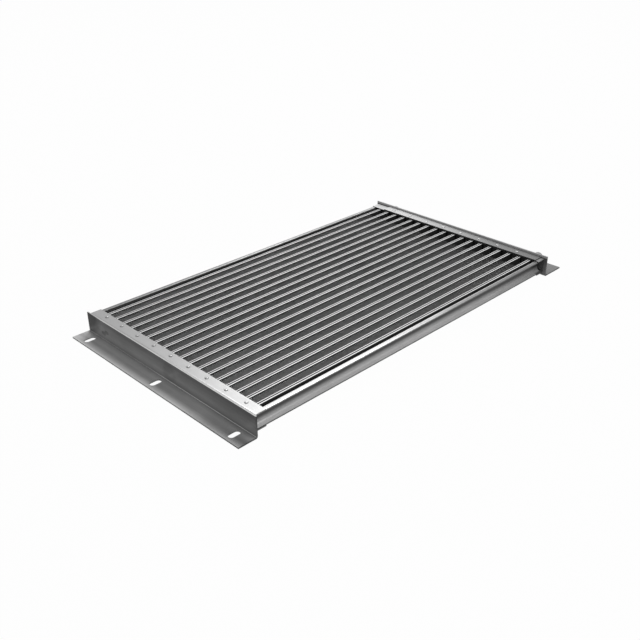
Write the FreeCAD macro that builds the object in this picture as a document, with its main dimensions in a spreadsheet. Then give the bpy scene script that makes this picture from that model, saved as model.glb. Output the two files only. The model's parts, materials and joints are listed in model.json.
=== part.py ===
import FreeCAD, Part
import math
import os
import Sketcher

from FreeCAD import Placement, Rotation, Vector

# Condenser coil: eighteen flat tubes with folded fins between them run from a header at one end to a
# header at the other. Two side rails frame the core, a channel closes over each end, and an angle
# bracket outside each channel stands the coil on two slotted feet.
#
# Frame: X along the tubes with the front at minus X, Y across with left at plus Y, Z up. The origin is
# under the middle of the overall box, on the plane that the feet rest on. Lengths are millimetres.

DRIVING_SIZES = (
    ("web_span", "614", "between the outer faces of the two bracket webs"),
    ("bracket_length", "360", "brackets, across the coil"),
    ("bracket_sheet", "2", "thickness of the brackets"),
    ("bracket_bend", "1", "inside radius of the bracket bends"),
    ("front_web_height", "31", "front bracket, over its foot's underside"),
    ("rear_web_height", "34", "rear bracket, over its foot's underside"),
    ("front_foot", "27.5", "front foot, out from the web's outer face"),
    ("rear_foot", "42.5", "rear foot, out from the web's outer face"),
    ("slot_count", "3", "slots in each foot"),
    ("slot_width", "9", "slots in the feet"),
    ("slot_length", "17", "slots in the feet, end to end"),
    ("front_slot_offset", "14", "slot centre out from the web's outer face"),
    ("rear_slot_offset", "28", "slot centre out from the web, clear of the connection tubes"),
    ("slot_edge", "23.5", "outer slot centre in from the bracket's end"),
    ("channel_sheet", "1.2", "thickness of the end channels"),
    ("channel_bend", "1.2", "inside radius of the channel bends"),
    ("channel_rise", "6", "underside of the channels over the feet"),
    ("channel_height", "24", "end channels"),
    ("channel_inset", "4.5", "bracket end to channel end"),
    ("front_channel_depth", "17.5", "front channel, web to flange edge"),
    ("rear_channel_depth", "18", "rear channel, web to flange edge"),
    ("rail_sheet", "1.5", "thickness of the side rails"),
    ("rail_bend", "4.5", "inside radius of the rail bends"),
    ("rail_depth", "10", "side rails, web to flange edge"),
    ("rail_inset", "0.7", "channel end to the outer edge of the rail"),
    ("rail_end_gap", "2", "rail ends to the channel webs"),
    ("cope_gap", "1", "rear channel's flange edge to the rail flanges"),
    ("header_depth", "13", "headers, along the tubes"),
    ("header_wall", "2.2", "wall of the headers"),
    ("header_corner", "2", "outside corner radius of the headers"),
    ("bore_corner", "0.6", "inside corner radius of the headers"),
    ("cap_plate", "1.6", "thickness of the header caps"),
    ("cap_spigot", "1", "depth of the cap's spigot in the header"),
    ("spigot_clearance", "0.1", "spigot to header, each side"),
    ("baffle_plate", "1.5", "thickness of the baffle"),
    ("tube_count", "18", "flat tubes"),
    ("tube_thickness", "5.2", "flat tubes, across the coil"),
    ("tube_side_gap", "3.7", "outermost tube to the rail web"),
    ("tube_height", "20", "flat tubes, over the rims"),
    ("tongue_height", "10", "plain ends of the tubes, which enter the headers"),
    ("tube_insertion", "1.5", "tube ends past the header's wall"),
    ("tube_wall", "1.5", "wall round the tube's passage"),
    ("groove_width", "1.6", "groove between the two rims of a tube"),
    ("groove_depth", "1.8", "groove between the two rims of a tube"),
    ("rim_radius", "0.5", "rounding of the tube's outer edges"),
    ("rim_setback", "0.5", "header face to the ends of the rims"),
    ("fin_sheet", "0.3", "thickness of the fin strip"),
    ("fin_folds", "36", "folds along one fin pack"),
    ("fin_recess", "1.5", "fin edges below the tube rims"),
    ("fin_front_gap", "5", "fin packs to the front header's face"),
    ("fin_rear_gap", "33", "fin packs to the rear header's face"),
    ("inlet_radius", "7.94", "inlet tube, outside"),
    ("outlet_radius", "6.35", "outlet tube, outside"),
    ("stub_wall", "1", "wall of both connection tubes"),
    ("stub_reach", "20", "connection tubes past the rear bracket"),
    ("socket_depth", "12", "widened ends of the connection tubes"),
    ("socket_clearance", "0.05", "pipe to socket, each side"),
    ("socket_taper", "2", "where a connection tube widens"),
    ("stub_insertion", "1", "connection tubes past the header's wall"),
    ("stub_edge", "28", "connection tube centres in from the bracket's end"),
    ("stub_clearance", "0.1", "connection tubes in their holes, each side"),
    ("strip_sheet", "1.2", "thickness of the cover strip"),
    ("strip_width", "17", "cover strip, along the tubes"),
    ("strip_setback", "0.5", "cover strip to the rear bracket"),
    ("strip_left_inset", "27", "left channel end to the strip's end"),
    ("strip_right_inset", "6", "right channel end to the strip's end"),
    ("rivet_offset", "12.4", "rivets in from the bracket's outer face"),
    ("rivet_radius", "1.6", "rivet shanks"),
    ("rivet_clearance", "0.1", "rivets in their holes, each side"),
    ("rivet_grip", "1.5", "rivet shanks in the header's wall"),
    ("rivet_head_radius", "2.5", "rivet heads"),
    ("rivet_top_radius", "1.5", "flat on top of a rivet head"),
    ("rivet_head_height", "1", "rivet heads"),
    ("rivet_rim_height", "0.4", "upright rim of a rivet head"),
)

ACROSS = "XZ_Plane"
ALONG = "YZ_Plane"
FLAT = "XY_Plane"

doc = FreeCAD.newDocument("condenser_coil")
sheet = doc.addObject("Spreadsheet::Sheet", "sizes")
for row, (alias, number, note) in enumerate(DRIVING_SIZES, start=1):
    sheet.set(f"A{row}", alias)
    sheet.set(f"B{row}", number)
    sheet.set(f"C{row}", note)
    sheet.setAlias(f"B{row}", alias)
doc.recompute()


class Size:
    """A length with its number and the sheet formula that gives it."""

    def __init__(self, value, formula):
        self.value = value
        self.formula = formula

    def joined(self, sign, other, result):
        return Size(result, f"({self.formula} {sign} {other.formula})")

    def __add__(self, other):
        other = as_size(other)
        return self.joined("+", other, self.value + other.value)

    def __sub__(self, other):
        other = as_size(other)
        return self.joined("-", other, self.value - other.value)

    def __mul__(self, other):
        other = as_size(other)
        return self.joined("*", other, self.value * other.value)

    def __truediv__(self, other):
        other = as_size(other)
        return self.joined("/", other, self.value / other.value)

    def __radd__(self, other):
        return as_size(other) + self

    def __rsub__(self, other):
        return as_size(other) - self

    def __rmul__(self, other):
        return as_size(other) * self

    def __neg__(self):
        return as_size(0) - self


def as_size(number):
    return number if isinstance(number, Size) else Size(float(number), str(number))


def cell(alias):
    return Size(float(sheet.get(alias)), f"sizes.{alias}")


# Sheet values under their own names

web_span = cell("web_span")
bracket_length = cell("bracket_length")
bracket_sheet = cell("bracket_sheet")
bracket_bend = cell("bracket_bend")
front_foot = cell("front_foot")
rear_foot = cell("rear_foot")
slot_count = cell("slot_count")
slot_width = cell("slot_width")
slot_length = cell("slot_length")
slot_edge = cell("slot_edge")
channel_sheet = cell("channel_sheet")
channel_bend = cell("channel_bend")
channel_rise = cell("channel_rise")
channel_height = cell("channel_height")
channel_inset = cell("channel_inset")
rail_sheet = cell("rail_sheet")
rail_bend = cell("rail_bend")
rail_depth = cell("rail_depth")
header_depth = cell("header_depth")
header_wall = cell("header_wall")
cap_plate = cell("cap_plate")
tube_count = cell("tube_count")
tube_thickness = cell("tube_thickness")
tube_height = cell("tube_height")
tongue_height = cell("tongue_height")
groove_width = cell("groove_width")
groove_depth = cell("groove_depth")
fin_recess = cell("fin_recess")
stub_clearance = cell("stub_clearance")
strip_sheet = cell("strip_sheet")
rivet_radius = cell("rivet_radius")
rivet_hole_radius = rivet_radius + cell("rivet_clearance")
rivet_grip = cell("rivet_grip")

# Places that several pieces share

overall_length = web_span + front_foot + rear_foot
front_face = front_foot - overall_length / 2
rear_face = overall_length / 2 - rear_foot
front_channel_face = front_face + bracket_sheet
rear_channel_face = rear_face - bracket_sheet
front_header_back = front_channel_face + channel_sheet
rear_header_back = rear_channel_face - channel_sheet
front_header_face = front_header_back + header_depth
rear_header_face = rear_header_back - header_depth

channel_length = bracket_length - 2 * channel_inset
channel_top = channel_rise + channel_height
inner_floor = channel_rise + channel_sheet
inner_height = channel_height - 2 * channel_sheet
core_level = channel_rise + channel_height / 2
core_half = channel_length / 2 - cell("rail_inset") - rail_depth

header_half = core_half - cap_plate
outer_tube = core_half - cell("tube_side_gap") - tube_thickness / 2
tube_pitch = 2 * outer_tube / (tube_count - 1)
rivet_pitch = 2 * tube_pitch
fin_start = front_header_face + cell("fin_front_gap")
fin_end = rear_header_face - cell("fin_rear_gap")
stub_place = bracket_length / 2 - cell("stub_edge")
slot_place = bracket_length / 2 - slot_edge
slot_pitch = 2 * slot_place / (slot_count - 1)
rivet_from_channel = cell("rivet_offset") - bracket_sheet
rivet_from_header = rivet_from_channel - channel_sheet

tubes = int(tube_count.value)
fin_packs = tubes - 1
front_rivets = (fin_packs + 1) // 2
rear_rivets = fin_packs // 2


# Sketches and features

def bind(target, name, size):
    target.setExpression(name, size.formula)


def new_body(label, x, y, z, turned=False):
    """A body placed in the coil. One that is turned faces the other way along the tubes."""
    body = doc.addObject("PartDesign::Body", label)
    body.Label = label
    angle = 180 if turned else 0
    body.Placement = Placement(Vector(x.value, y.value, z.value), Rotation(Vector(0, 0, 1), angle))
    bind(body, "Placement.Base.x", x)
    bind(body, "Placement.Base.y", y)
    bind(body, "Placement.Base.z", z)
    return body


def origin_feature(body, role):
    return [item for item in body.Origin.OriginFeatures if item.Role == role][0]


def new_sketch(body, role, name, offset=None):
    sketch = body.newObject("Sketcher::SketchObject", f"{body.Name}_{name}")
    sketch.AttachmentSupport = [(origin_feature(body, role), "")]
    sketch.MapMode = "FlatFace"
    if offset is not None:
        sketch.AttachmentOffset = Placement(Vector(0, 0, offset.value), Rotation())
        bind(sketch, "AttachmentOffset.Base.z", offset)
    return sketch


def constrain(sketch, kind, size, *places):
    index = sketch.addConstraint(Sketcher.Constraint(kind, *places, size.value))
    bind(sketch, f"Constraints[{index}]", size)


def fix_point(sketch, geometry, end, across, up):
    constrain(sketch, "DistanceX", across, -1, 1, geometry, end)
    constrain(sketch, "DistanceY", up, -1, 1, geometry, end)


def step_sign(start, end):
    """The signs of the step from one point to the next, along each axis."""
    signs = []
    for first, second in zip(start, end):
        change = second.value - first.value
        signs.append(0 if abs(change) < 1e-9 else int(math.copysign(1, change)))
    return signs


def outline(sketch, corners):
    """A closed outline. A corner (across, up) is sharp, and (across, up, radius) is a rounded square one."""
    corners = [tuple(as_size(value) for value in corner) for corner in corners]
    stops = []
    for index, corner in enumerate(corners):
        point = corner[:2]
        if len(corner) == 2:
            stops.append((point, point, None, 0))
            continue
        radius = corner[2]
        into = step_sign(corners[index - 1][:2], point)
        away = step_sign(point, corners[(index + 1) % len(corners)][:2])
        entry = tuple(place - sign * radius for place, sign in zip(point, into))
        leave = tuple(place + sign * radius for place, sign in zip(point, away))
        turn = into[0] * away[1] - into[1] * away[0]
        stops.append((entry, leave, radius, turn))

    def vector(point):
        return Vector(point[0].value, point[1].value, 0)

    links = []
    for index, (entry, leave, radius, turn) in enumerate(stops):
        if radius is not None:
            middle = vector(entry) + vector(leave) - vector(corners[index])
            start, end = (entry, leave) if turn > 0 else (leave, entry)
            first = vector(start) - middle
            last = vector(end) - middle
            first_angle = math.atan2(first.y, first.x)
            last_angle = math.atan2(last.y, last.x)
            circle = Part.Circle(middle, Vector(0, 0, 1), radius.value)
            arc = sketch.addGeometry(Part.ArcOfCircle(circle, first_angle, last_angle))
            constrain(sketch, "Radius", radius, arc)
            links.append((arc, 1 if turn > 0 else 2, 2 if turn > 0 else 1, entry))
        following = stops[(index + 1) % len(stops)][0]
        if (vector(following) - vector(leave)).Length > 1e-6:
            line = sketch.addGeometry(Part.LineSegment(vector(leave), vector(following)))
            links.append((line, 1, 2, leave))
    for index, (geometry, start_end, far_end, start) in enumerate(links):
        follower = links[(index + 1) % len(links)]
        sketch.addConstraint(Sketcher.Constraint("Coincident", geometry, far_end, follower[0], follower[1]))
        fix_point(sketch, geometry, start_end, start[0], start[1])


def rectangle(sketch, left, right, bottom, top, radius=None):
    corners = [(left, bottom), (right, bottom), (right, top), (left, top)]
    if radius is not None:
        corners = [corner + (radius,) for corner in corners]
    outline(sketch, corners)


def circle(sketch, across, up, radius):
    across = as_size(across)
    up = as_size(up)
    middle = Vector(across.value, up.value, 0)
    ring = sketch.addGeometry(Part.Circle(middle, Vector(0, 0, 1), radius.value))
    fix_point(sketch, ring, 3, across, up)
    constrain(sketch, "Radius", radius, ring)


def pad(body, sketch, length, symmetric=False, backwards=False):
    feature = body.newObject("PartDesign::Pad", f"{sketch.Name}_pad")
    feature.Profile = sketch
    feature.Length = length.value
    bind(feature, "Length", length)
    feature.SideType = "Symmetric" if symmetric else "One side"
    feature.Reversed = backwards
    doc.recompute()
    return feature


def pocket(body, sketch, depth=None, backwards=False):
    """A cut to a depth, or right through both ways. It has to take material away."""
    before = body.Shape.Volume
    feature = body.newObject("PartDesign::Pocket", f"{sketch.Name}_pocket")
    feature.Profile = sketch
    if depth is None:
        feature.Type = "ThroughAll"
        feature.SideType = "Symmetric"
    else:
        feature.Length = depth.value
        bind(feature, "Length", depth)
    feature.Reversed = backwards
    doc.recompute()
    if body.Shape.Volume >= before:
        raise RuntimeError(f"{feature.Name} cuts nothing")
    return feature


def repeat(body, features, pitch, count):
    """Copies of features across the coil, the first where it was drawn."""
    pattern = body.newObject("PartDesign::LinearPattern", f"{features[0].Name}_row")
    pattern.Originals = features
    pattern.Direction = (origin_feature(body, "Y_Axis"), [""])
    pattern.Mode = "Spacing"
    pattern.Offset = pitch.value
    bind(pattern, "Offset", pitch)
    pattern.Occurrences = int(count)
    body.Tip = pattern
    doc.recompute()
    return pattern


def turn_round(body, sketch, axis):
    feature = body.newObject("PartDesign::Revolution", f"{sketch.Name}_turned")
    feature.Profile = sketch
    feature.ReferenceAxis = (origin_feature(body, axis), [""])
    feature.Angle = 360
    doc.recompute()
    return feature


def copy_of(source, label, x, y, z):
    """The same piece again in another place."""
    body = doc.addObject("PartDesign::Body", label)
    body.Label = label
    base = doc.addObject("PartDesign::FeatureBase", f"{label}_base")
    base.BaseFeature = source
    body.Group = [base]
    body.Tip = base
    body.Placement = Placement(Vector(x.value, y.value, z.value), Rotation())
    bind(body, "Placement.Base.x", x)
    bind(body, "Placement.Base.y", y)
    bind(body, "Placement.Base.z", z)
    return body


def c_section(sketch, depth, height, thickness, bend, side=1):
    """A folded channel: its web's back is at zero and its flanges reach out to the depth."""
    outer_bend = bend + thickness
    outline(sketch, [
        (as_size(0), as_size(0), outer_bend),
        (side * depth, as_size(0)),
        (side * depth, thickness),
        (side * thickness, thickness, bend),
        (side * thickness, height - thickness, bend),
        (side * depth, height - thickness),
        (side * depth, height),
        (as_size(0), height, outer_bend),
    ])


# End pieces: brackets, channels and the cover strip

def mounting_bracket(label, face, height, foot, slot_offset, turned):
    body = new_body(label, face, as_size(0), as_size(0), turned)
    profile = new_sketch(body, ACROSS, "profile")
    outline(profile, [
        (-foot, as_size(0)),
        (bracket_sheet, as_size(0), bracket_bend + bracket_sheet),
        (bracket_sheet, height),
        (as_size(0), height),
        (as_size(0), bracket_sheet, bracket_bend),
        (-foot, bracket_sheet),
    ])
    pad(body, profile, bracket_length, symmetric=True)
    slot = new_sketch(body, FLAT, "slot")
    middle = -slot_offset
    reach = slot_length / 2
    half = slot_width / 2
    rectangle(slot, middle - reach, middle + reach, -slot_place - half, -slot_place + half, half)
    cut = pocket(body, slot)
    repeat(body, [cut], slot_pitch, slot_count.value)
    return body


def port_holes(body, level, depth=None):
    """Two holes for the connection tubes. On a turned body, plus across is the right side."""
    ports = new_sketch(body, ALONG, "ports")
    circle(ports, stub_place, level, cell("inlet_radius") + stub_clearance)
    circle(ports, -stub_place, level, cell("outlet_radius") + stub_clearance)
    pocket(body, ports, depth, backwards=depth is not None)


def end_channel(label, face, depth, rivets, turned):
    body = new_body(label, face, as_size(0), channel_rise, turned)
    profile = new_sketch(body, ACROSS, "profile")
    c_section(profile, depth, channel_height, channel_sheet, channel_bend)
    pad(body, profile, channel_length, symmetric=True)
    hole = new_sketch(body, FLAT, "rivet_hole", channel_height)
    circle(hole, rivet_from_channel, -rivet_pitch * (rivets - 1) / 2, rivet_hole_radius)
    cut = pocket(body, hole, channel_sheet)
    repeat(body, [cut], rivet_pitch, rivets)
    return body


def cover_strip(label):
    body = new_body(label, rear_channel_face, as_size(0), channel_top, turned=True)
    start = cell("strip_setback")
    plate = new_sketch(body, FLAT, "plate")
    left_end = cell("strip_left_inset") - channel_length / 2
    right_end = channel_length / 2 - cell("strip_right_inset")
    rectangle(plate, start, start + cell("strip_width"), left_end, right_end)
    pad(body, plate, strip_sheet)
    hole = new_sketch(body, FLAT, "rivet_hole", strip_sheet)
    circle(hole, rivet_from_channel, -rivet_pitch * (rear_rivets - 1) / 2, rivet_hole_radius)
    cut = pocket(body, hole, strip_sheet)
    repeat(body, [cut], rivet_pitch, rear_rivets)


# Side rails, with the flanges cut back at the rear so that only the web enters the rear channel

def side_rail(label, side):
    start = front_header_back + cell("rail_end_gap")
    end = rear_header_back - cell("rail_end_gap")
    flange_end = rear_channel_face - cell("rear_channel_depth") - cell("cope_gap")
    body = new_body(label, start, side * core_half, inner_floor)
    profile = new_sketch(body, ALONG, "profile")
    c_section(profile, rail_depth, inner_height, rail_sheet, rail_bend, side)
    pad(body, profile, end - start)
    cope = new_sketch(body, FLAT, "cope")
    lip = side * (rail_bend + rail_sheet)
    rectangle(cope, flange_end - start, end - start, lip, side * rail_depth)
    pocket(body, cope)


# Headers with their caps, baffle and connection tubes

def header_outline(sketch):
    rectangle(sketch, 0, header_depth, 0, inner_height, cell("header_corner"))


def bore_outline(sketch, clearance=0):
    near = header_wall + clearance
    rectangle(sketch, near, header_depth - near, near, inner_height - near, cell("bore_corner"))


def header(label, back, rivets, ported, turned):
    body = new_body(label, back, as_size(0), inner_floor, turned)
    section = new_sketch(body, ACROSS, "section")
    header_outline(section)
    bore_outline(section)
    pad(body, section, 2 * header_half, symmetric=True)
    slot = new_sketch(body, ALONG, "tube_slot", header_depth)
    half = tube_thickness / 2
    low = (inner_height - tongue_height) / 2
    rectangle(slot, -outer_tube - half, -outer_tube + half, low, low + tongue_height)
    repeat(body, [pocket(body, slot, header_wall)], tube_pitch, tube_count.value)
    hole = new_sketch(body, FLAT, "rivet_hole", inner_height)
    circle(hole, rivet_from_header, -rivet_pitch * (rivets - 1) / 2, rivet_hole_radius)
    repeat(body, [pocket(body, hole, rivet_grip)], rivet_pitch, rivets)
    if ported:
        port_holes(body, inner_height / 2, header_wall)


def header_cap(label, back, side, turned):
    body = new_body(label, back, side * header_half, inner_floor, turned)
    outward = side if not turned else -side
    plate = new_sketch(body, ACROSS, "plate")
    header_outline(plate)
    pad(body, plate, cap_plate, backwards=outward > 0)
    spigot = new_sketch(body, ACROSS, "spigot")
    bore_outline(spigot, cell("spigot_clearance"))
    pad(body, spigot, cell("cap_spigot"), backwards=outward < 0)


def baffle(label):
    body = new_body(label, rear_header_back, as_size(0), inner_floor, turned=True)
    plate = new_sketch(body, ACROSS, "plate")
    bore_outline(plate)
    pad(body, plate, cell("baffle_plate"), symmetric=True)


def connection_stub(label, side, radius):
    """A tube from inside the rear header out through the bracket. Its end is widened into a pipe socket."""
    start = rear_header_back - header_wall - cell("stub_insertion")
    end = rear_face + cell("stub_reach") - start
    socket_start = end - cell("socket_depth")
    taper_start = socket_start - cell("socket_taper")
    wall = cell("stub_wall")
    bore = radius - wall
    socket = radius + cell("socket_clearance")
    body = new_body(label, start, side * stub_place, core_level)
    profile = new_sketch(body, ACROSS, "profile")
    outline(profile, [
        (0, bore),
        (taper_start, bore),
        (socket_start, socket),
        (end, socket),
        (end, socket + wall),
        (socket_start, socket + wall),
        (taper_start, radius),
        (0, radius),
    ])
    turn_round(body, profile, "X_Axis")


# Core: flat tubes and the fin packs between them

def flat_tube(label, x, y):
    body = new_body(label, x, y, core_level)
    half = tube_thickness / 2
    top = tube_height / 2
    groove = groove_width / 2
    floor = top - groove_depth
    rim = cell("rim_radius")
    section = new_sketch(body, ALONG, "section")
    outline(section, [
        (-half, -top, rim),
        (-groove, -top),
        (-groove, -floor),
        (groove, -floor),
        (groove, -top),
        (half, -top, rim),
        (half, top, rim),
        (groove, top),
        (groove, floor),
        (-groove, floor),
        (-groove, top),
        (-half, top, rim),
    ])
    passage = half - cell("tube_wall")
    passage_top = tongue_height / 2 - cell("tube_wall")
    rectangle(section, -passage, passage, -passage_top, passage_top)
    length = rear_header_face - front_header_face + 2 * tube_reach
    pad(body, section, length)
    # Both rims stop short of the headers, and the plain tongue between them goes on inside
    rim_start = tube_reach + cell("rim_setback")
    tongue = tongue_height / 2
    ends = new_sketch(body, ACROSS, "rim_ends")
    for left, right in ((0, rim_start), (length - rim_start, length)):
        rectangle(ends, left, right, tongue, top)
        rectangle(ends, left, right, -top, -tongue)
    pocket(body, ends)
    return body


def fin_shape():
    """A strip folded to and fro between two tubes, standing on edge. Its folds touch both tubes."""
    length = (fin_end - fin_start).value
    folds = int(cell("fin_folds").value)
    gap = tube_pitch.value - tube_thickness.value
    height = tube_height.value - 2 * fin_recess.value
    step = length / folds
    # A strip this much thicker across the coil is one sheet thick across its own slope
    slope = math.atan2(gap, step)
    half_width = cell("fin_sheet").value / math.cos(slope) / 2
    swing = gap / 2 - half_width
    middle_line = [Vector(index * step, swing * (-1) ** index, -height / 2) for index in range(folds + 1)]
    offset = Vector(0, half_width, 0)
    edge = [point + offset for point in middle_line]
    edge += [point - offset for point in reversed(middle_line)]
    face = Part.Face(Part.makePolygon(edge + edge[:1]))
    return face.extrude(Vector(0, 0, height))


def place_fin_pack(label, shape, y):
    feature = doc.addObject("Part::Feature", label)
    feature.Label = label
    feature.Shape = shape
    feature.Placement = Placement(Vector(fin_start.value, y.value, core_level.value), Rotation())
    bind(feature, "Placement.Base.x", fin_start)
    bind(feature, "Placement.Base.y", y)
    bind(feature, "Placement.Base.z", core_level)


# Rivets: one row is one group of equal, separate solids

def rivet_row(label, x, z, count, sheets):
    body = new_body(label, x, -rivet_pitch * (count - 1) / 2, z)
    reach = sheets + rivet_grip
    head = cell("rivet_head_radius")
    profile = new_sketch(body, ACROSS, "profile")
    outline(profile, [
        (0, -reach),
        (rivet_radius, -reach),
        (rivet_radius, 0),
        (head, 0),
        (head, cell("rivet_rim_height")),
        (cell("rivet_top_radius"), cell("rivet_head_height")),
        (0, cell("rivet_head_height")),
    ])
    repeat(body, [turn_round(body, profile, "Z_Axis")], rivet_pitch, count)


mounting_bracket(
    "front_mounting_bracket", front_face, cell("front_web_height"), front_foot,
    cell("front_slot_offset"), turned=False)
rear_bracket = mounting_bracket(
    "rear_mounting_bracket", rear_face, cell("rear_web_height"), rear_foot,
    cell("rear_slot_offset"), turned=True)
port_holes(rear_bracket, core_level)

end_channel("front_end_channel", front_channel_face, cell("front_channel_depth"), front_rivets, turned=False)
rear_channel = end_channel(
    "rear_end_channel", rear_channel_face, cell("rear_channel_depth"), rear_rivets, turned=True)
port_holes(rear_channel, channel_height / 2)
cover_strip("rear_cover_strip")

side_rail("left_side_rail", 1)
side_rail("right_side_rail", -1)

header("front_header", front_header_back, front_rivets, ported=False, turned=False)
header("rear_header", rear_header_back, rear_rivets, ported=True, turned=True)
for end_name, back, turned in (("front", front_header_back, False), ("rear", rear_header_back, True)):
    header_cap(f"{end_name}_header_left_cap", back, 1, turned)
    header_cap(f"{end_name}_header_right_cap", back, -1, turned)
baffle("rear_header_baffle")
connection_stub("inlet_stub", -1, cell("inlet_radius"))
connection_stub("outlet_stub", 1, cell("outlet_radius"))

tube_reach = header_wall + cell("tube_insertion")
tube_start = front_header_face - tube_reach
first_tube = flat_tube("flat_tube_01", tube_start, outer_tube)
for number in range(1, tubes):
    copy_of(first_tube, f"flat_tube_{number + 1:02d}", tube_start, outer_tube - number * tube_pitch, core_level)
fin_strip = fin_shape()
for number in range(fin_packs):
    place_fin_pack(f"fin_pack_{number + 1:02d}", fin_strip, outer_tube - (number + 0.5) * tube_pitch)

rivet_row("front_top_rivets", front_channel_face + rivet_from_channel, channel_top, front_rivets, channel_sheet)
rivet_row("rear_top_rivets", rear_channel_face - rivet_from_channel, channel_top + strip_sheet,
          rear_rivets, channel_sheet + strip_sheet)

# Check every object, then write each piece under its own name

doc.recompute()
for item in doc.Objects:
    if "Invalid" in item.State or "Error" in item.State:
        raise RuntimeError(f"{item.Label} failed: {item.State}")

pieces = [item for item in doc.Objects if item.TypeId in ("PartDesign::Body", "Part::Feature")]
os.makedirs("parts", exist_ok=True)
for piece in pieces:
    if piece.Shape.isNull() or not piece.Shape.isValid():
        raise RuntimeError(f"{piece.Label} has no valid shape")
    piece.Shape.exportStep(f"parts/{piece.Label}.step")
print(len(pieces), "pieces written")
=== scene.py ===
import json
import math

import bpy
from mathutils import Matrix, Vector


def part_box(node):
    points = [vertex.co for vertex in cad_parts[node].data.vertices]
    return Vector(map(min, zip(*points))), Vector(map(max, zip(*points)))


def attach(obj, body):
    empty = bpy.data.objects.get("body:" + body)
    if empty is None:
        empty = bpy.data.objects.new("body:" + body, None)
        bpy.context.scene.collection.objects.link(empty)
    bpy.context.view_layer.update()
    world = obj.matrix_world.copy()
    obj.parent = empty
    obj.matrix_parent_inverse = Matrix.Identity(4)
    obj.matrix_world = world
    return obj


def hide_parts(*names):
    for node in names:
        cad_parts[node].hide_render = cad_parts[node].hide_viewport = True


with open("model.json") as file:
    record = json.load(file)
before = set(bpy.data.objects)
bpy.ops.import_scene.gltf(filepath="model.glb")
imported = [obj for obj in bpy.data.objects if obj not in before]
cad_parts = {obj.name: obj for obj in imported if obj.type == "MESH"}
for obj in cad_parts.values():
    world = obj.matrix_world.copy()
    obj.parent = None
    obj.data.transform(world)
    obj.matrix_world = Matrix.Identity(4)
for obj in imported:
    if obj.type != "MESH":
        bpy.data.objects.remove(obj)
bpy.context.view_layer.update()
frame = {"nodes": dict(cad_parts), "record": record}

MM = 0.001
WHITE = (1.0, 1.0, 1.0, 1.0)

fin_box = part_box("fin_pack_01")
first_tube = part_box("flat_tube_01")
tube_middle = (first_tube[0].y + first_tube[1].y) / 2
tube_pitch = abs(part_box("flat_tube_02")[0].y - first_tube[0].y)


# Finishes

# A mark fades out between these shares of its reach
MARK_EDGE = (0.75, 1.15)
# How fine the patterns of rolled metal are, in repeats to a metre: fine lines and wider bands along
# the rolling and across it, cloudy patches, and scuffs
LINES_ALONG, LINES_ACROSS = 60.0, 1700.0
BANDS_ALONG, BANDS_ACROSS = 9.0, 260.0
CLOUDS, SCUFFS = 24.0, 420.0
# The bands are moved by this, so that they don't repeat the lines
BANDS_PLACE = (3.1, 1.7, 0.4)
# Scuffs begin to show at the first of these levels of noise, and show fully at the second
SCUFF_LEVELS = (0.62, 0.8)
# How fine the patterns of the fins are: unevenness along, across and up, dust, and specks
FIN_UNEVENNESS = (500.0, 90.0, 30.0)
FIN_DUST, FIN_SPECKS = 160.0, 520.0
# How fine the skin of a coating is, and the dust on it
COATING_SKIN, COATING_DUST = 1500.0, 70.0
BUMP_DEPTH = 0.1 * MM


class Channel:
    """An output of a node. Sums and products of channels add the nodes that work them out."""

    def __init__(self, nodes, socket):
        self.nodes = nodes
        self.socket = socket

    def maths(self, operation, first, second=None, clamp=False):
        inputs = {0: first}
        if second is not None:
            inputs[1] = second
        return self.nodes.node("Math", {"operation": operation, "use_clamp": clamp}, inputs)

    def __add__(self, other):
        return self.maths("ADD", self, other)

    def __radd__(self, other):
        return self.maths("ADD", other, self)

    def __sub__(self, other):
        return self.maths("SUBTRACT", self, other)

    def __rsub__(self, other):
        return self.maths("SUBTRACT", other, self)

    def __mul__(self, other):
        return self.maths("MULTIPLY", self, other)

    def __rmul__(self, other):
        return self.maths("MULTIPLY", other, self)

    def __truediv__(self, other):
        return self.maths("DIVIDE", self, other)

    def __rtruediv__(self, other):
        return self.maths("DIVIDE", other, self)

    def clamped(self):
        return self.maths("ADD", self, 0.0, clamp=True)


class Nodes:
    """A node tree. Every node of a finish, and of the sky, is added by its node method."""

    def __init__(self, tree):
        self.tree = tree

    def node(self, kind, settings=None, inputs=None, output=0):
        made = self.tree.nodes.new("ShaderNode" + kind)
        for key, value in (settings or {}).items():
            if key == "stops":
                self.set_stops(made, value)
            else:
                setattr(made, key, value)
        for key, value in (inputs or {}).items():
            self.feed(made.inputs[key], value)
        return Channel(self, made.outputs[output] if made.outputs else None)

    def set_stops(self, ramp, stops):
        elements = ramp.color_ramp.elements
        while len(elements) < len(stops):
            elements.new(1.0)
        for element, (position, tone) in zip(elements, stops):
            element.position = position
            element.color = (tone, tone, tone, 1.0)

    def feed(self, socket, value):
        if isinstance(value, Channel):
            self.tree.links.new(value.socket, socket)
        else:
            socket.default_value = value

    def level(self, channel, low, high, to_low=0.0, to_high=1.0):
        return self.node("MapRange", {"clamp": True},
                         {"Value": channel, "From Min": low, "From Max": high,
                          "To Min": to_low, "To Max": to_high})

    def seen_directly(self):
        """One for what the camera, gloss and glass see, nought for the light that falls on the coil."""
        camera_ray = self.node("LightPath", output="Is Camera Ray")
        outputs = camera_ray.socket.node.outputs
        gloss = Channel(self, outputs["Is Glossy Ray"])
        glass = Channel(self, outputs["Is Transmission Ray"])
        return (camera_ray + gloss + glass).clamped()


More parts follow.
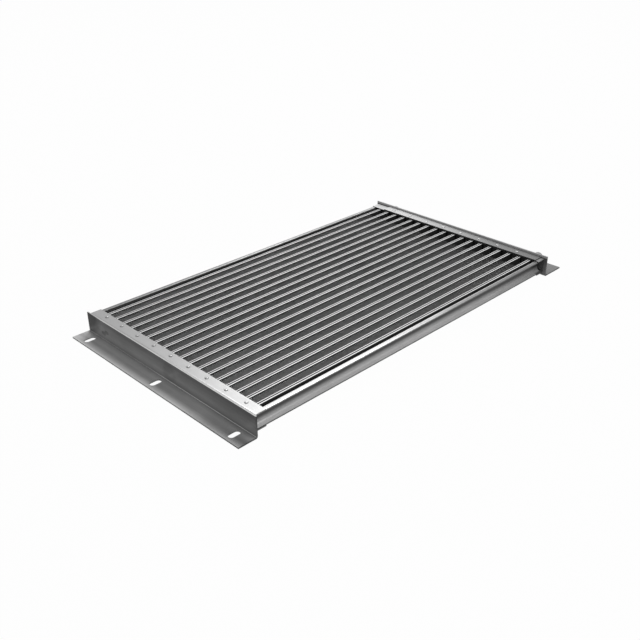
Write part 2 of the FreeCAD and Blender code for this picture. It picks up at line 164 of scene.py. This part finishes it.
class Finish(Nodes):
    """A material made of nodes. Its patterns lie by their place on the coil."""

    def __init__(self, name, metallic, roughness=0.4, specular=0.5):
        self.material = bpy.data.materials.new(name)
        self.material.use_nodes = True
        super().__init__(self.material.node_tree)
        self.surface = self.tree.nodes["Principled BSDF"]
        self.surface.inputs["Metallic"].default_value = metallic
        self.surface.inputs["Roughness"].default_value = roughness
        self.surface.inputs["Specular IOR Level"].default_value = specular
        self.place = self.node("TexCoord", output="Object")

    def sets(self, **values):
        for name, value in values.items():
            self.feed(self.surface.inputs[name.replace("_", " ")], value)

    def stretched(self, scale, place=(0.0, 0.0, 0.0)):
        return self.node("Mapping", {"vector_type": "POINT"},
                         {"Vector": self.place, "Scale": scale, "Location": place})

    def noise(self, scale, detail, roughness, vector=None, distortion=0.0):
        return self.node("TexNoise", {"noise_dimensions": "3D"},
                         {"Vector": vector or self.place, "Scale": scale, "Detail": detail,
                          "Roughness": roughness, "Distortion": distortion}, "Fac")

    def zone(self, axis, stops):
        """A tone for each place along an axis. A stop is a place in millimetres and a tone."""
        places = [place for place, tone in stops]
        peak = max(tone for place, tone in stops)
        reach = places[-1] - places[0]
        along = self.node("SeparateXYZ", None, {0: self.place}, axis)
        share = self.level(along, places[0] * MM, places[-1] * MM)
        ramp = [((place - places[0]) / reach, tone / peak) for place, tone in stops]
        return self.node("ValToRGB", {"stops": ramp}, {0: share}) * peak

    def mark(self, middle, reach, tone):
        """A tone inside a soft-edged ellipsoid. Its middle and reach are in millimetres."""
        middle, reach = (tuple(value * MM for value in values) for values in (middle, reach))
        away = self.node("VectorMath", {"operation": "SUBTRACT"}, {0: self.place, 1: middle})
        away = self.node("VectorMath", {"operation": "DIVIDE"}, {0: away, 1: reach})
        distance = self.node("VectorMath", {"operation": "LENGTH"}, {0: away}, "Value")
        return self.level(distance, *MARK_EDGE, tone, 1.0)

    def tint(self, colour, amount):
        """A colour made lighter or darker by a channel around one."""
        return self.node("VectorMath", {"operation": "SCALE"}, {0: colour, "Scale": amount})

    def bump(self, height, strength):
        return self.node("Bump", None, {"Height": height, "Strength": strength, "Distance": BUMP_DEPTH},
                         "Normal")


def grey(level):
    return (level, level, level)


def rolled_metal(name, colour, roughness, along, metallic=0.4, specular=0.5, mottle=0.1, grain=0.1,
                 zones=(), marks=(), metal_zone=None):
    """Bare sheet or bar, with lines left by rolling along one axis, cloudy patches and scuffs."""
    finish = Finish(name, metallic=metallic, specular=specular)
    fine = tuple(LINES_ALONG if axis == along else LINES_ACROSS for axis in "XYZ")
    coarse = tuple(BANDS_ALONG if axis == along else BANDS_ACROSS for axis in "XYZ")
    lines = finish.noise(1.0, 2.0, 0.6, finish.stretched(fine))
    bands = finish.noise(1.0, 2.0, 0.5, finish.stretched(coarse, BANDS_PLACE))
    clouds = finish.noise(CLOUDS, 4.0, 0.55)
    scuffs = finish.level(finish.noise(SCUFFS, 2.0, 0.7, distortion=1.5), *SCUFF_LEVELS)
    shade = 1.0 + grain * (lines - 0.5) + grain * (bands - 0.5) + mottle * (clouds - 0.5) + 0.12 * scuffs
    # The zones and marks paint light and shade into the colour
    for axis, stops in zones:
        shade = shade * finish.zone(axis, stops)
    for mark in marks:
        shade = shade * finish.mark(*mark)
    finish.sets(
        Base_Color=finish.tint(colour, shade),
        Roughness=(roughness + 0.16 * (clouds - 0.5) + 0.1 * (lines - 0.5) + 0.1 * scuffs).clamped(),
        Normal=finish.bump(lines + 0.6 * bands - 0.3 * scuffs, 0.02),
    )
    if metal_zone is not None:
        finish.sets(Metallic=finish.zone(*metal_zone))
    return finish


# Zones of tone along an axis, each stop a place in millimetres and a tone, and marks, each a
# middle, a reach and a tone. The pale floor lights the recesses from below, so these tones paint
# light and shade into the colour: painted shade in recesses, on edges and at far ends, and painted
# highlights and reflections on bends, tops and near ends.

# Painted light on the right rail: painted shade in its recess, painted light on its lower flange and
# a painted highlight on the bend of its upper one. It gets darker towards the rear, and the edges of
# its flanges get painted shade.
RAIL_PAINTED_LIGHT_ZONES = (
    ("Z", ((0.0, 1.6), (8.5, 1.6), (8.7, 1.95), (9.15, 1.95), (10.35, 1.85), (11.25, 1.7),
           (12.3, 1.75), (13.5, 1.5), (14.85, 0.95), (16.2, 0.55), (17.5, 0.34), (24.0, 0.3),
           (27.0, 1.25), (30.0, 1.25))),
    ("Z", ((24.0, 1.0), (27.0, 2.9), (28.6, 2.9), (28.76, 1.0), (28.8, 1.0))),
    ("X", ((-330.0, 1.0), (-80.0, 1.0), (0.0, 0.97), (60.0, 0.95), (160.0, 0.82), (250.0, 0.58),
           (330.0, 0.5))),
    ("Y", ((-176.0, 0.2), (-174.7, 0.2), (-174.5, 1.0), (-160.0, 1.0))),
)
# Painted light: its top brighter at the front and darker towards the rear, its lower flange lighter
# there
RAIL_PAINTED_LIGHT_MARKS = (
    ((-230.0, -170.0, 29.0), (190.0, 12.0, 4.0), 1.15),
    ((150.0, -170.0, 29.0), (110.0, 12.0, 4.0), 0.72),
    ((190.0, -175.0, 8.0), (100.0, 8.0, 5.0), 1.15),
)
# How metallic the rail looks, from its recess up to its top
RAIL_METAL = ("Z", ((0.0, 0.1), (24.0, 0.1), (28.0, 0.5), (40.0, 0.5)))

# Painted light on the left rail: painted shade down its web beside the first tube, and a painted
# highlight where its top is flat
LEFT_RAIL_PAINTED_LIGHT_ZONES = (
    ("Z", ((0.0, 1.6), (8.5, 1.6), (8.7, 1.95), (11.25, 1.85), (13.5, 1.4), (16.2, 0.55), (17.5, 0.34),
           (24.0, 0.3), (27.0, 1.15), (30.0, 1.15))),
    ("Z", ((17.5, 1.0), (24.0, 0.04), (28.35, 0.04), (28.55, 0.35), (28.76, 1.0), (28.8, 1.0))),
    ("X", ((-330.0, 0.6), (-150.0, 0.6), (-80.0, 0.65), (0.0, 0.9), (80.0, 0.85), (150.0, 0.8),
           (220.0, 0.9), (290.0, 1.15))),
)
LEFT_RAIL_METAL = ("Z", ((24.0, 0.1), (28.45, 0.1), (28.78, 0.5), (28.8, 0.5)))

# Painted light on the fins: lighter at the front, painted shade where they end short of the rear
# header, and darker in the middle rows
FIN_PAINTED_LIGHT_ZONES = (
    ("X", ((-300.0, 1.25), (-220.0, 1.12), (-150.0, 1.0), (0.0, 0.97), (80.0, 0.85), (150.0, 0.86),
           (200.0, 0.82), (235.0, 0.6), (255.0, 0.36))),
    ("Y", ((-160.0, 1.02), (-75.0, 0.96), (0.0, 0.9), (75.0, 0.88), (160.0, 0.95))),
)

# Painted light on the tubes: a painted highlight on the tops of their rims, and painted shade on their
# sides
TUBE_PAINTED_LIGHT_ZONES = (
    ("Z", ((27.6, 0.04), (27.76, 0.05), (27.88, 0.9), (28.0, 1.0))),
)
# Across a tube the right rim gets more painted light than the left one, and the groove between them
# gets painted shade: a share of the pitch between two tubes and a tone
TUBE_RIM_PAINTED_LIGHT = ((0.0, 1.0), (0.425, 1.0), (0.445, 0.3), (0.555, 0.3), (0.575, 0.87), (1.0, 0.87))
# Painted light: the left half of the core is slightly brighter
TUBE_PAINTED_LIGHT_MARKS = (
    ((0.0, 90.0, 28.0), (220.0, 130.0, 3.0), 1.08),
)

# Painted light on the cover strip: brighter towards its left end, and painted shade on its edges
STRIP_PAINTED_LIGHT_ZONES = (
    ("Y", ((-180.0, 0.42), (-110.0, 0.5), (-60.0, 0.57), (0.0, 0.86), (40.0, 0.96), (120.0, 1.18),
           (180.0, 1.3))),
    ("Z", ((30.0, 0.15), (31.1, 0.15), (31.18, 1.0), (31.5, 1.0))),
)

# Painted light: the channels are lighter on top and darker below
CHANNEL_PAINTED_LIGHT_ZONES = (
    ("Z", ((6.0, 0.6), (28.0, 0.6), (29.0, 1.0), (31.0, 1.0))),
)
# Painted light on the rear channel: painted shade along its edge towards the core, darker at its
# right end and lighter at its left end
REAR_CHANNEL_PAINTED_LIGHT_ZONES = CHANNEL_PAINTED_LIGHT_ZONES + (
    ("X", ((279.3, 0.12), (279.8, 0.12), (280.1, 1.0), (281.0, 1.0))),
    ("Y", ((-180.0, 0.55), (-165.0, 0.75), (-150.0, 1.0), (130.0, 1.0), (150.0, 1.35), (180.0, 1.35))),
)
# A painted highlight on the front channel, along the right half of its bend
FRONT_CHANNEL_PAINTED_HIGHLIGHT = (
    ((-311.6, -180.0, 30.0), (2.6, 200.0, 4.0), 1.7),
)

# The first zone is a ring of painted shade round the front row's heads, and the second paints a
# highlight on the tops of the rear row's heads, which stand higher, on the cover strip
RIVET_PAINTED_LIGHT_ZONES = (
    ("Z", ((29.0, 0.45), (30.6, 0.55), (30.85, 0.86), (31.2, 0.86))),
    ("Z", ((31.2, 1.0), (32.0, 1.3))),
)

# Painted light on the brackets. The front web has painted highlights at its bend and top edge, and
# painted shade below that edge. The rear web has a painted highlight where it stands higher. The
# front foot has a painted reflection along its outer edge, whose face gets painted shade, and the rear
# bracket has painted shade at its bend. Both are darker towards their right ends, most on the end
# faces.
BRACKET_PAINTED_LIGHT_ZONES = (
    ("Z", ((0.0, 1.0), (2.1, 1.0), (2.25, 3.0), (2.7, 3.0), (3.1, 1.3), (6.0, 1.6), (12.0, 1.8),
           (20.0, 1.3), (27.0, 0.85), (30.7, 0.8), (30.9, 2.4), (36.0, 2.4))),
    ("X", ((-350.0, 2.5), (-342.0, 2.5), (-337.0, 1.75), (-330.0, 1.1), (-322.0, 1.7), (-315.0, 1.7),
           (-314.4, 1.0), (299.0, 1.0), (299.6, 0.4), (302.0, 0.4), (306.0, 1.12), (350.0, 1.25))),
    ("Y", ((-180.0, 0.8), (-130.0, 0.9), (-60.0, 1.0), (180.0, 1.0))),
    ("Y", ((-180.0, 0.45), (-179.95, 0.45), (-179.8, 1.0), (-179.0, 1.0))),
    ("X", ((-342.5, 0.55), (-341.98, 0.55), (-341.8, 1.0), (-341.0, 1.0))),
)
# Painted reflections and shade on the front web: its dark left end, a smear of two dark spots under
# a light one, the darker left half of its bend and two faint clouds. On the front foot: painted light on
# its left end and painted shade on its right end. The last one is a painted highlight on the top of the
# rear web, towards its right end.
BRACKET_PAINTED_LIGHT_MARKS = (
    ((-314.5, 190.0, 32.0), (0.6, 41.0, 32.0), 0.1),
    ((-314.5, 141.0, 12.4), (0.6, 6.0, 3.2), 0.5),
    ((-314.5, 133.0, 16.0), (0.6, 5.5, 3.0), 0.55),
    ((-314.5, 146.0, 19.0), (0.6, 9.0, 4.5), 1.2),
    ((-314.8, 100.0, 2.45), (1.2, 100.0, 0.5), 0.6),
    ((-314.5, -12.0, 15.0), (0.6, 14.0, 14.0), 0.82),
    ((-314.5, 42.0, 12.0), (0.6, 28.0, 14.0), 1.06),
    ((-328.0, 190.0, 1.0), (12.0, 34.0, 6.0), 1.5),
    ((-345.0, -190.0, 1.0), (18.0, 110.0, 6.0), 0.72),
    ((297.5, -180.0, 32.5), (0.6, 100.0, 3.0), 1.22),
)


def tube_finish(name, colour, roughness):
    """Drawn flat tube, whose right rim gets more painted light than its left one."""
    finish = rolled_metal(name, colour, roughness, "X", metallic=0.2, specular=0.1,
                          zones=TUBE_PAINTED_LIGHT_ZONES, marks=TUBE_PAINTED_LIGHT_MARKS)
    across = finish.node("SeparateXYZ", None, {0: finish.place}, "Y")
    pitches = (across - (tube_middle - tube_pitch / 2)) / tube_pitch
    turn = finish.node("Math", {"operation": "FRACT"}, {0: pitches})
    rim_painted_light = finish.node("ValToRGB", {"stops": TUBE_RIM_PAINTED_LIGHT}, {0: turn})
    metal = finish.surface.inputs["Base Color"].links[0].from_socket
    finish.sets(Base_Color=finish.tint(Channel(finish, metal), rim_painted_light))
    return finish


def coated_metal(name, colour, roughness):
    """Dull coating with a fine orange-peel skin and dusty patches."""
    finish = Finish(name, metallic=0.0)
    skin = finish.noise(COATING_SKIN, 2.0, 0.5)
    dust = finish.noise(COATING_DUST, 4.0, 0.6)
    finish.sets(
        Base_Color=finish.tint(colour, 0.8 + 0.4 * dust + 0.1 * skin),
        Roughness=(roughness + 0.25 * (dust - 0.5)).clamped(),
        Normal=finish.bump(skin, 0.05),
    )
    return finish


def fin_finish(name, colour, roughness):
    """Thin coated strip: slightly uneven from fold to fold, with a little dust."""
    finish = Finish(name, metallic=0.6)
    uneven = finish.noise(1.0, 3.0, 0.6, finish.stretched(FIN_UNEVENNESS))
    dust = finish.noise(FIN_DUST, 4.0, 0.65)
    specks = finish.noise(FIN_SPECKS, 2.0, 0.7)
    shade = 0.55 + 0.55 * uneven + 0.35 * dust + 0.9 * (specks - 0.45)
    for axis, stops in FIN_PAINTED_LIGHT_ZONES:
        shade = shade * finish.zone(axis, stops)
    finish.sets(
        Base_Color=finish.tint(colour, shade),
        Roughness=(roughness + 0.2 * (dust - 0.5)).clamped(),
        Normal=finish.bump(uneven, 0.15),
    )
    return finish


bracket_steel = rolled_metal("bracket_steel", grey(0.17), 0.35, "Y", metallic=0.1, specular=0.1,
                             mottle=0.35, grain=0.3, zones=BRACKET_PAINTED_LIGHT_ZONES, marks=BRACKET_PAINTED_LIGHT_MARKS)
channel_steel = rolled_metal("channel_steel", grey(0.28), 0.35, "Y", metallic=0.45,
                             zones=CHANNEL_PAINTED_LIGHT_ZONES, marks=FRONT_CHANNEL_PAINTED_HIGHLIGHT)
rear_channel_steel = rolled_metal("rear_channel_steel", grey(0.30), 0.35, "Y", metallic=0.45,
                                  zones=REAR_CHANNEL_PAINTED_LIGHT_ZONES)
strip_steel = rolled_metal("strip_steel", grey(0.31), 0.35, "Y", metallic=0.75, zones=STRIP_PAINTED_LIGHT_ZONES)
rail_steel = rolled_metal("rail_steel", grey(0.25), 0.30, "X", specular=0.2, mottle=0.25, grain=0.25,
                          zones=RAIL_PAINTED_LIGHT_ZONES, marks=RAIL_PAINTED_LIGHT_MARKS, metal_zone=RAIL_METAL)
left_rail_steel = rolled_metal("left_rail_steel", grey(0.26), 0.30, "X", specular=0.1,
                               zones=LEFT_RAIL_PAINTED_LIGHT_ZONES, metal_zone=LEFT_RAIL_METAL)
rivet_steel = rolled_metal("rivet_steel", grey(0.35), 0.3, "Z", metallic=0.6, specular=0.2,
                           zones=RIVET_PAINTED_LIGHT_ZONES)
# The header is near black all over
header_near_black = coated_metal("header_near_black", grey(0.02), 0.5)
tube_metal = tube_finish("tube_metal", grey(0.68), 0.45)
stub_metal = rolled_metal("stub_metal", grey(0.26), 0.3, "X", metallic=0.6)
fin_metal = fin_finish("fin_metal", grey(0.38), 0.5)

FINISHES = {
    "bracket": bracket_steel,
    "channel": channel_steel,
    "strip": strip_steel,
    "rail": rail_steel,
    "rivet": rivet_steel,
    "tube": tube_metal,
    "fin": fin_metal,
    "header": header_near_black,
    "stub": stub_metal,
}
# Two pieces get other painted light and shade than the rest of their kind
OWN_FINISHES = {
    "left_side_rail": left_rail_steel,
    "rear_end_channel": rear_channel_steel,
}


def coat(piece, finish):
    piece.data.materials.clear()
    piece.data.materials.append(finish.material)


for part in frame["record"]["subparts"]:
    name = part["node"]
    coat(frame["nodes"][name], OWN_FINISHES.get(name, FINISHES[part["material_slot"]]))


# Modelling

def deselect():
    bpy.ops.object.select_all(action="DESELECT")


def take(piece):
    """Selects one piece and nothing else."""
    deselect()
    bpy.context.view_layer.objects.active = piece
    piece.select_set(True)


def edit(piece):
    take(piece)
    bpy.ops.object.mode_set(mode="EDIT")
    bpy.ops.mesh.select_mode(type="VERT")
    bpy.ops.mesh.select_all(action="DESELECT")


def leave_edit():
    bpy.ops.object.mode_set(mode="OBJECT")


def pick(piece, test):
    """Selects the vertices whose place passes the test, and the faces between them."""
    leave_edit()
    for item in (*piece.data.polygons, *piece.data.edges):
        item.select = False
    for vertex in piece.data.vertices:
        vertex.select = test(vertex.co)
    bpy.ops.object.mode_set(mode="EDIT")


def settle(piece):
    """Puts the object at the origin, with its place in its mesh."""
    take(piece)
    bpy.ops.object.transform_apply(location=True, rotation=True, scale=True)


def apply_modifier(piece, kind, **settings):
    take(piece)
    modifier = piece.modifiers.new(kind.lower(), kind)
    for name, value in settings.items():
        setattr(modifier, name, value)
    bpy.ops.object.modifier_apply(modifier=modifier.name)


def copy_of(piece, name, move):
    twin = piece.copy()
    twin.data = piece.data.copy()
    twin.name = name
    twin.data.name = name
    bpy.context.scene.collection.objects.link(twin)
    twin.data.transform(Matrix.Translation(move))
    return twin


def repeat(piece, count, step, **settings):
    """Repeats what is drawn so far at an even step."""
    apply_modifier(piece, "ARRAY", count=count, use_relative_offset=False, use_constant_offset=True,
                   constant_offset_displace=step, **settings)


def turn_outward():
    """Turns all faces of the piece in edit mode outwards, and leaves edit mode."""
    bpy.ops.mesh.select_all(action="SELECT")
    bpy.ops.mesh.normals_make_consistent(inside=False)
    leave_edit()


def dress(piece, slot, *nodes):
    """Gives a piece its finish, lets it ride on the coil, and hides the solids that it stands for."""
    coat(piece, FINISHES[slot])
    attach(piece, "root")
    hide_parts(*nodes)


# Fins: one strip folded to and fro many times between two tubes

FIN_PACKS = 17
FOLDS = 181
FIN_GAUGE = 0.14 * MM
# Added to half the gauge, so that no strip touches a tube
FIN_PLAY = 0.01 * MM
BEND_STEPS = 4
# How near to a place a vertex is taken to be there, and how near two have to be to become one
NEAR = 0.001 * MM
MERGE = 0.01 * MM


def fin_strip(low, high):
    """One strip, from one fold that is drawn and then repeated along the tubes."""
    pitch = (high.x - low.x) / FOLDS
    radius = pitch / 4
    clear = FIN_GAUGE / 2 + FIN_PLAY
    middle = (low.y + high.y) / 2
    reach = (high.y - low.y) / 2 - clear - radius
    height = high.z - low.z
    deselect()
    bpy.ops.mesh.primitive_plane_add(size=1.0, location=(0, 0, 0))
    strip = bpy.context.object
    edit(strip)
    bpy.ops.mesh.select_all(action="SELECT")
    bpy.ops.transform.resize(value=(2 * reach, height, 1))
    leave_edit()
    # The flat sheet is stood up across the gap between two tubes
    strip.data.transform(Matrix.Rotation(math.pi / 2, 4, "X"))
    strip.data.transform(Matrix.Rotation(math.pi / 2, 4, "Z"))
    strip.data.transform(Matrix.Translation((low.x, middle, (low.z + high.z) / 2)))
    # It turns back near one tube, runs across and turns back near the other. Both bends curve
    # inwards, so the strip ends the radius of a bend short of the tubes.
    edit(strip)
    pick(strip, lambda co: co.y > middle + reach - NEAR)
    bpy.ops.mesh.spin(steps=BEND_STEPS, angle=-math.pi, center=(low.x + radius, middle + reach, 0),
                      axis=(0, 0, 1))
    pick(strip, lambda co: co.x > low.x + 2 * radius - NEAR)
    bpy.ops.mesh.extrude_region_move(TRANSFORM_OT_translate={"value": (0, -2 * reach, 0)})
    pick(strip, lambda co: co.x > low.x + 2 * radius - NEAR and co.y < middle - reach + NEAR)
    bpy.ops.mesh.spin(steps=BEND_STEPS, angle=math.pi, center=(low.x + 3 * radius, middle - reach, 0),
                      axis=(0, 0, 1))
    bpy.ops.mesh.select_all(action="SELECT")
    bpy.ops.mesh.remove_doubles(threshold=MERGE)
    leave_edit()
    repeat(strip, FOLDS, (pitch, 0, 0), use_merge_vertices=True, merge_threshold=MERGE)
    edit(strip)
    turn_outward()
    apply_modifier(strip, "SOLIDIFY", thickness=FIN_GAUGE, offset=0.0)
    settle(strip)
    return strip


first_strip = fin_strip(*fin_box)
first_strip.name = "fin_strip_01"
dress(first_strip, "fin", "fin_pack_01")
for number in range(2, FIN_PACKS + 1):
    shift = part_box(f"fin_pack_{number:02d}")[0].y - fin_box[0].y
    twin = copy_of(first_strip, f"fin_strip_{number:02d}", (0, shift, 0))
    dress(twin, "fin", f"fin_pack_{number:02d}")


# Rivets: a shank with a low domed head, drawn once and repeated along its row

SHANK_RADIUS = 1.6 * MM
HEAD_HEIGHT = 1.0 * MM
# The outline of the head from its rim to its top: a share of its radius and a share of its height
DOME = ((1.0, 0.3), (0.95, 0.55), (0.82, 0.8), (0.6, 0.94), (0.3, 1.0))
ROUND_SIDES = 28
SMOOTH_ANGLE = math.radians(50)


def rivet_row(name, node, count):
    low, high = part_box(node)
    head = (high.x - low.x) / 2
    seat = high.z - HEAD_HEIGHT
    x = (low.x + high.x) / 2
    y = low.y + head
    deselect()
    bpy.ops.mesh.primitive_circle_add(vertices=ROUND_SIDES, radius=SHANK_RADIUS, fill_type="NGON",
                                      location=(x, y, low.z))
    row = bpy.context.object
    row.name = name
    row.data.name = name
    edit(row)
    bpy.ops.mesh.select_all(action="SELECT")
    reach = SHANK_RADIUS
    level = low.z

    def grow(radius, height):
        nonlocal reach, level
        bpy.ops.mesh.extrude_region_move(TRANSFORM_OT_translate={"value": (0, 0, height - level)})
        ratio = radius / reach
        bpy.ops.transform.resize(value=(ratio, ratio, 1))
        reach, level = radius, height

    grow(SHANK_RADIUS, seat)
    grow(head, seat)
    for width, height in DOME:
        grow(head * width, seat + HEAD_HEIGHT * height)
    turn_outward()
    settle(row)
    pitch = (high.y - low.y - 2 * head) / (count - 1)
    repeat(row, count, (0, pitch, 0))
    take(row)
    bpy.ops.object.shade_smooth_by_angle(angle=SMOOTH_ANGLE)
    dress(row, "rivet", node)


rivet_row("front_rivets", "front_top_rivets", 9)
rivet_row("rear_rivets", "rear_top_rivets", 8)


# Light, floor and camera

FLOOR_SIZE = 30.0
FLOOR_DROP = 0.1 * MM
FLOOR_GREY = 0.35
# The floor is seen almost white, and the rest is its own shade, with the coil's soft shadow
FLOOR_WHITENESS = 0.98
SKY_LIGHT = 0.48
# The camera's focal length in pixels of the picture, its place and the way it is turned
FOCAL_PIXELS = 836.803
PICTURE_WIDTH = 640
SENSOR_WIDTH = 36.0
EYE = (-0.8136783, -0.7874121, 0.5803955)
EYE_RIGHT = Vector((0.70881785, -0.70538582, -0.00284644))
EYE_UP = Vector((0.33815406, 0.33625244, 0.87896878))
EYE_FORWARD = Vector((0.61905499, 0.6239913, -0.47687081))


def lamp(name, size, place, power):
    """A softbox that faces the coil."""
    data = bpy.data.lights.new(name, "AREA")
    data.shape = "RECTANGLE"
    data.size, data.size_y = size
    data.energy = power
    light = bpy.data.objects.new(name, data)
    bpy.context.scene.collection.objects.link(light)
    light.location = place
    light.rotation_euler = (-Vector(place)).to_track_quat("-Z", "Y").to_euler()
    light.visible_camera = False


def floor():
    """A plain floor that is seen white, and that keeps the coil's shadow in its own light."""
    deselect()
    bpy.ops.mesh.primitive_plane_add(size=FLOOR_SIZE, location=(0, 0, -FLOOR_DROP))
    plane = bpy.context.object
    plane.name = "floor"
    finish = Finish("floor_white", metallic=0.0, roughness=0.9)
    finish.sets(Base_Color=(*grey(FLOOR_GREY), 1.0))
    lit = Channel(finish, finish.surface.outputs[0])
    white = finish.node("Emission", None, {"Color": WHITE, "Strength": 1.0})
    share = finish.seen_directly() * FLOOR_WHITENESS
    shown = finish.node("MixShader", None, {0: share, 1: lit, 2: white})
    finish.feed(finish.tree.nodes["Material Output"].inputs["Surface"], shown)
    coat(plane, finish)
    settle(plane)


def sky():
    """Soft light from all sides, seen white."""
    world = bpy.data.worlds.new("studio")
    bpy.context.scene.world = world
    world.use_nodes = True
    world.node_tree.nodes.clear()
    nodes = Nodes(world.node_tree)
    strength = nodes.level(nodes.seen_directly(), 0.0, 1.0, SKY_LIGHT, 1.0)
    light = nodes.node("Background", None, {"Color": WHITE, "Strength": strength})
    nodes.node("OutputWorld", None, {"Surface": light})


def camera():
    data = bpy.data.cameras.new("camera")
    data.sensor_width = SENSOR_WIDTH
    data.lens = FOCAL_PIXELS / PICTURE_WIDTH * SENSOR_WIDTH
    data.clip_start = 0.01
    data.clip_end = 60.0
    eye = bpy.data.objects.new("camera", data)
    bpy.context.scene.collection.objects.link(eye)
    turn = Matrix((EYE_RIGHT, EYE_UP, -EYE_FORWARD)).transposed().to_4x4()
    eye.matrix_world = Matrix.Translation(EYE) @ turn
    bpy.context.scene.camera = eye


floor()
sky()
lamp("back_softbox", size=(1.0, 1.0), place=(1.55, 1.55, 2.05), power=35.0)
lamp("right_softbox", size=(1.5, 1.2), place=(0.35, -1.25, 2.3), power=36.0)
camera()

bpy.context.scene.view_settings.view_transform = "Standard"
